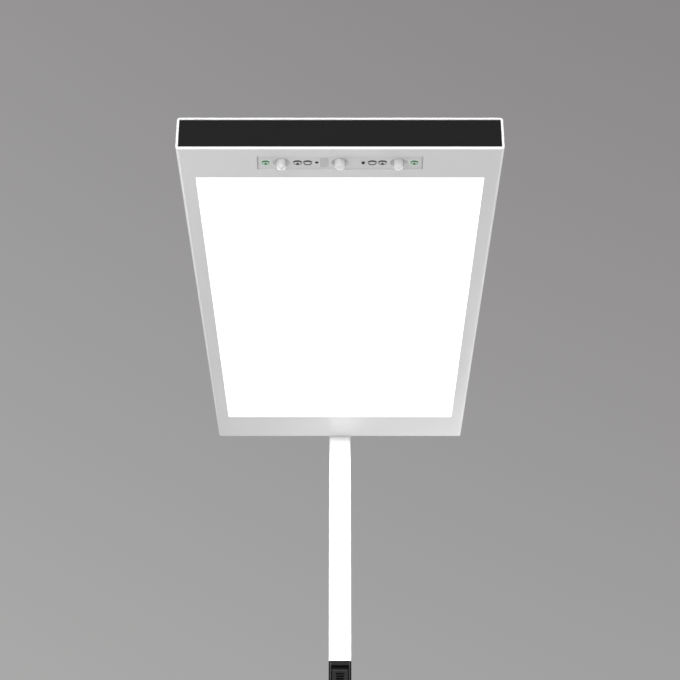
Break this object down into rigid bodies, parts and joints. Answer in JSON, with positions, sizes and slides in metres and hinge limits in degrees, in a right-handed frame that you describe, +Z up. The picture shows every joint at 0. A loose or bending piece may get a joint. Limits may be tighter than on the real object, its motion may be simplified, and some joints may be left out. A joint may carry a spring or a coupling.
{
  "type": "office floor lamp",
  "caption": "Office floor lamp: a flat rectangular light head on the end of a slim rectangular pole, which has a thumb slide dimmer, on a flat floor plate.",
  "frame": {"origin": "on the floor, at the centre of the lamp's outline seen from above", "axes": "+Z up; the head reaches from the pole towards -Y, with the sensor strip and the black end cap at its free end; +X is to the right when looking along +Y at that end"},
  "size_m": [0.32, 0.721, 1.95],
  "materials": {
    "white_aluminium": "satin powder coat",
    "white_plastic": "satin",
    "white_steel": "satin powder coat",
    "black_plastic": "fine matt grain",
    "black_window": "gloss",
    "prismatic_panel": "fine prismatic texture, lit",
    "clear_acrylic": "clear",
    "reflector_white": "matt",
    "led_board": "white solder mask",
    "led_package": "phosphor",
    "bare_aluminium": "mill finish",
    "steel": "zinc plated",
    "grey_plastic": "satin",
    "opal_plastic": "opal",
    "circuit_board": "solder mask",
    "wiring": "matt",
    "case_white": "matt",
    "glide_rubber": "matt"
  },
  "bodies": {
    "stand": {"head_housing": "white_aluminium", "front_cap": "black_plastic", "rear_cap": "white_aluminium", "rear_cap_screws": "steel", "direct_panel": "prismatic_panel", "light_guide": "clear_acrylic", "reflector_film": "reflector_white", "edge_strip_left": "led_board", "edge_strip_right": "led_board", "edge_leds": "led_package", "gear_tray": "bare_aluminium", "tray_screws": "steel", "uplight_board_front": "led_board", "uplight_board_rear": "led_board", "uplight_leds": "led_package", "uplight_cover": "clear_acrylic", "led_driver": "case_white", "driver_screws": "steel", "sensor_cable": "grey_plastic", "sensor_bezel": "grey_plastic", "sensor_board": "circuit_board", "board_screws": "steel", "sensor_lens_left": "opal_plastic", "sensor_lens_centre": "opal_plastic", "sensor_lens_right": "opal_plastic", "motion_detectors": "steel", "indicator_window_left": "opal_plastic", "indicator_window_right": "opal_plastic", "indicator_leds": "led_package", "status_window": "grey_plastic", "receiver_window": "black_window", "light_sensor": "black_window", "neck_bracket": "bare_aluminium", "neck_screws": "steel", "neck_nuts": "steel", "upper_pole": "white_aluminium", "pole_top_cap": "white_plastic", "pole_screws": "steel", "pole_loom": "wiring", "control_housing": "black_plastic", "dimmer_track": "steel", "control_board": "circuit_board", "control_board_screws": "steel", "pole_spigot": "bare_aluminium", "lower_pole": "white_aluminium", "pole_collar": "white_plastic", "foot_block": "steel", "foot_screws": "steel", "base_plate": "white_steel", "glides": "glide_rubber", "cable_gland": "black_plastic", "gland_nut": "black_plastic", "terminal_block": "case_white"},
    "dimmer": {"dimmer_slider": "black_plastic", "dimmer_lever": "steel"}
  },
  "joints": [
    {"name": "dimmer_slide", "type": "slide", "parent": "stand", "child": "dimmer", "axis": [0, 0, 1], "range_m": [-0.015, 0.005]}
  ]
}
